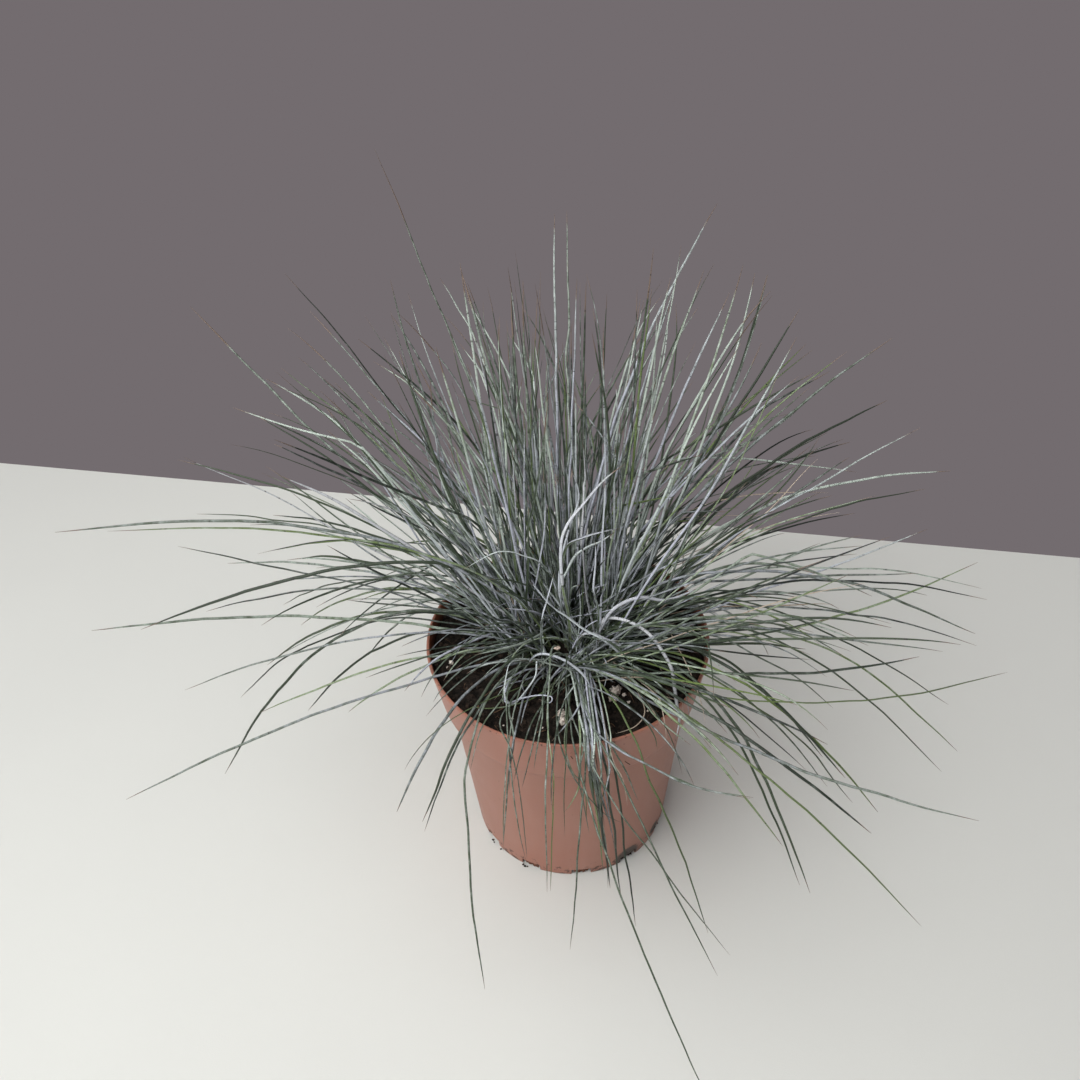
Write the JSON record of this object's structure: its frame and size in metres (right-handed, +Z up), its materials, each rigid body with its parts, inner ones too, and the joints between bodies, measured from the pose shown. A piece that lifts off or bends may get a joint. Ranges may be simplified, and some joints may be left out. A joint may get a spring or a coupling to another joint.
{
  "type": "potted ornamental grass",
  "caption": "Clump of fine blue-green grass arching out of a round plastic nursery pot filled with dark peat.",
  "frame": {"origin": "centre of the pot's flat underside", "axes": "+Z up along the pot's axis, the side the plant is seen from is at -Y, +X to the viewer's right"},
  "size_m": [0.3534, 0.3063, 0.2931],
  "materials": {
    "pot_plastic": "thin moulded plastic in dull terracotta, slightly satin",
    "peat": "dark crumbly peat with fibres and pale grit",
    "leaf": "fine folded grass leaf, green under a pale blue-grey bloom"
  },
  "bodies": {
    "root": {"pot": "pot_plastic", "soil": "peat", "tussock": "leaf", "leaf_left_01": "leaf", "leaf_left_02": "leaf", "leaf_left_03": "leaf", "leaf_left_04": "leaf", "leaf_left_05": "leaf", "leaf_left_06": "leaf", "leaf_left_07": "leaf", "leaf_left_08": "leaf", "leaf_left_09": "leaf", "leaf_left_10": "leaf", "leaf_left_11": "leaf", "leaf_back_01": "leaf", "leaf_back_02": "leaf", "leaf_back_03": "leaf", "leaf_back_04": "leaf", "leaf_back_05": "leaf", "leaf_back_06": "leaf", "leaf_back_07": "leaf", "leaf_back_08": "leaf", "leaf_back_09": "leaf", "leaf_back_10": "leaf", "leaf_back_11": "leaf", "leaf_back_12": "leaf", "leaf_back_13": "leaf", "leaf_right_01": "leaf", "leaf_right_02": "leaf", "leaf_right_03": "leaf", "leaf_right_04": "leaf", "leaf_right_05": "leaf", "leaf_right_06": "leaf", "leaf_right_07": "leaf", "leaf_right_08": "leaf", "leaf_right_09": "leaf", "leaf_right_10": "leaf", "leaf_right_11": "leaf", "leaf_corner_01": "leaf", "leaf_corner_02": "leaf", "leaf_corner_03": "leaf", "leaf_corner_04": "leaf", "leaf_corner_05": "leaf", "leaf_corner_06": "leaf", "leaf_corner_07": "leaf", "leaf_corner_08": "leaf", "leaf_corner_09": "leaf", "leaf_corner_10": "leaf", "leaf_corner_11": "leaf", "leaf_front_01": "leaf", "leaf_front_02": "leaf", "leaf_front_03": "leaf", "leaf_front_04": "leaf", "leaf_front_05": "leaf", "leaf_front_06": "leaf", "leaf_front_07": "leaf", "leaf_front_08": "leaf", "leaf_front_09": "leaf"}
  },
  "joints": []
}
